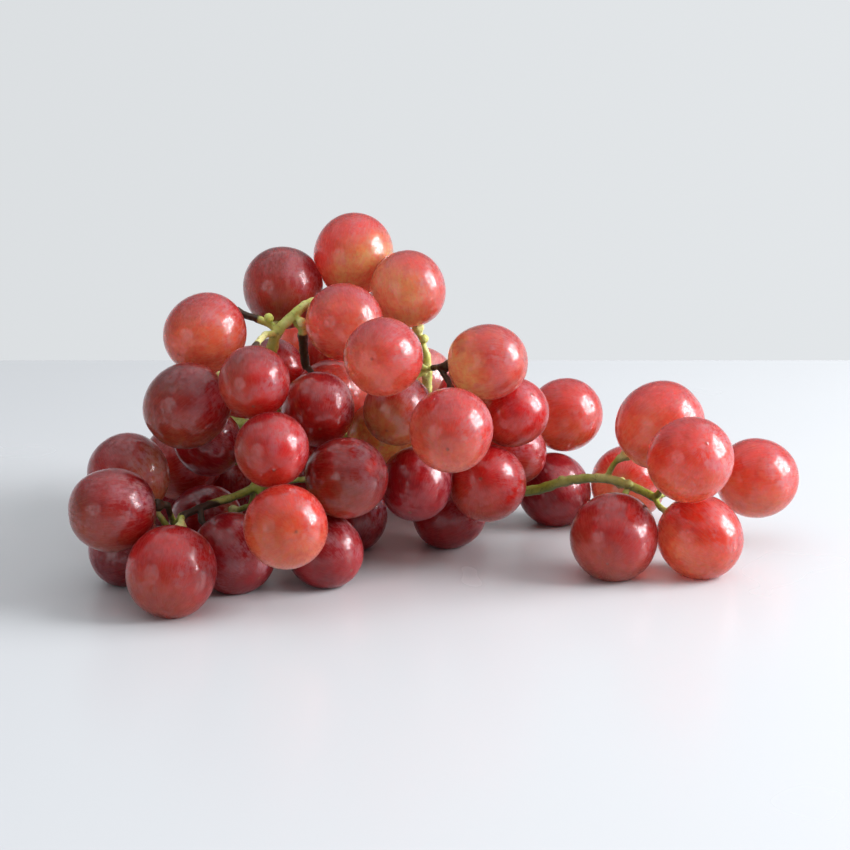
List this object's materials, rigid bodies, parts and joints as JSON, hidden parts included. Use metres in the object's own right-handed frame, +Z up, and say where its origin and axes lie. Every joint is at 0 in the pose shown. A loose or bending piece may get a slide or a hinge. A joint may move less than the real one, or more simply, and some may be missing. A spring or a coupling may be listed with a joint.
{
  "type": "bunch of grapes",
  "caption": "Loose bunch of large round red table grapes lying on its side, with its branching green stalk and a small tail of berries on a longer stem.",
  "frame": {"origin": "middle of the bunch's bounding box, on the surface that it lies on", "axes": "+X along the bunch towards its tail, +Y towards the back, where the cut end of the main stalk is, +Z up"},
  "size_m": [0.221, 0.1456, 0.1027],
  "materials": {
    "stalk": "pale yellow-green to brown stalk, slightly ribbed, matt",
    "skin_rose": "smooth rose-red grape skin with a pale bloom, slightly translucent",
    "skin_red": "smooth red grape skin with a pale bloom, slightly translucent",
    "skin_dark": "smooth dark purple-red grape skin with a pale bloom"
  },
  "bodies": {
    "root": {"stalk": "stalk", "berry_01": "skin_rose", "berry_02": "skin_rose", "berry_03": "skin_red", "berry_04": "skin_rose", "berry_05": "skin_rose", "berry_06": "skin_rose", "berry_07": "skin_red", "berry_08": "skin_red", "berry_09": "skin_red", "berry_10": "skin_dark", "berry_11": "skin_red", "berry_12": "skin_red", "berry_13": "skin_red", "berry_14": "skin_red", "berry_15": "skin_red", "berry_16": "skin_dark", "berry_17": "skin_dark", "berry_18": "skin_dark", "berry_19": "skin_dark", "berry_20": "skin_red", "berry_21": "skin_dark", "berry_22": "skin_dark", "berry_23": "skin_dark", "berry_24": "skin_rose", "berry_25": "skin_red", "berry_26": "skin_rose", "berry_27": "skin_red", "berry_28": "skin_rose", "berry_29": "skin_dark", "berry_30": "skin_red", "berry_31": "skin_red", "berry_32": "skin_rose", "berry_33": "skin_rose", "berry_34": "skin_red", "berry_35": "skin_dark", "berry_36": "skin_rose", "berry_37": "skin_red", "berry_38": "skin_dark", "berry_39": "skin_red", "tip_berry_1": "skin_rose", "tip_berry_2": "skin_rose", "tip_berry_3": "skin_rose", "tip_berry_4": "skin_rose", "tip_berry_5": "skin_red", "tip_berry_6": "skin_rose", "rear_berry_01": "skin_dark", "rear_berry_02": "skin_dark", "rear_berry_03": "skin_dark", "rear_berry_04": "skin_red", "rear_berry_05": "skin_dark", "rear_berry_06": "skin_dark", "rear_berry_07": "skin_red", "rear_berry_08": "skin_red", "rear_berry_09": "skin_red", "rear_berry_10": "skin_red", "rear_berry_11": "skin_rose", "rear_berry_12": "skin_rose"}
  },
  "joints": []
}
